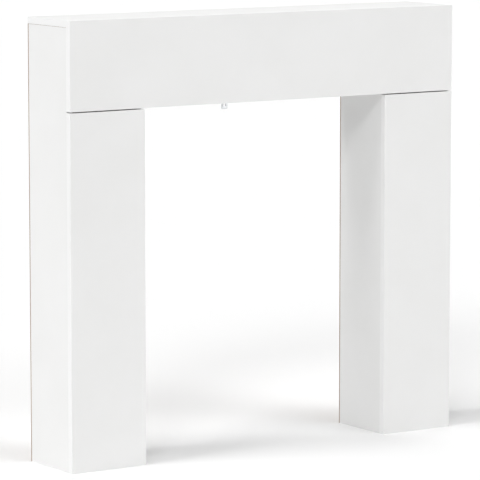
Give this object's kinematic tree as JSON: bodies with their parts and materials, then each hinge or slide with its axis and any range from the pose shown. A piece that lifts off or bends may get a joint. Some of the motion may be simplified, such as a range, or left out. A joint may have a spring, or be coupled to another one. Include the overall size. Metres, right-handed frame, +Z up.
{
  "type": "fireplace mantelpiece",
  "caption": "Plain white box-section mantelpiece: hollow legs carry a hollow header, with thin hardboard backs and a slotted steel wall bracket.",
  "frame": {"origin": "centre of the footprint on the floor", "axes": "+X along the mantelpiece, +Y from the front to the wall, +Z up"},
  "size_m": [1.04, 0.18, 1],
  "materials": {
    "white_board": "satin white melamine face on chipboard",
    "hardboard": "plain brown hardboard",
    "zinc_steel": "zinc-plated"
  },
  "bodies": {
    "root": {"top_board": "white_board", "header_front": "white_board", "header_bottom": "white_board", "header_back": "hardboard", "side_left": "white_board", "side_right": "white_board", "inner_left": "white_board", "inner_right": "white_board", "leg_front_left": "white_board", "leg_front_right": "white_board", "leg_back_left": "hardboard", "leg_back_right": "hardboard", "wall_bracket": "zinc_steel", "bracket_screw": "zinc_steel"}
  },
  "joints": []
}
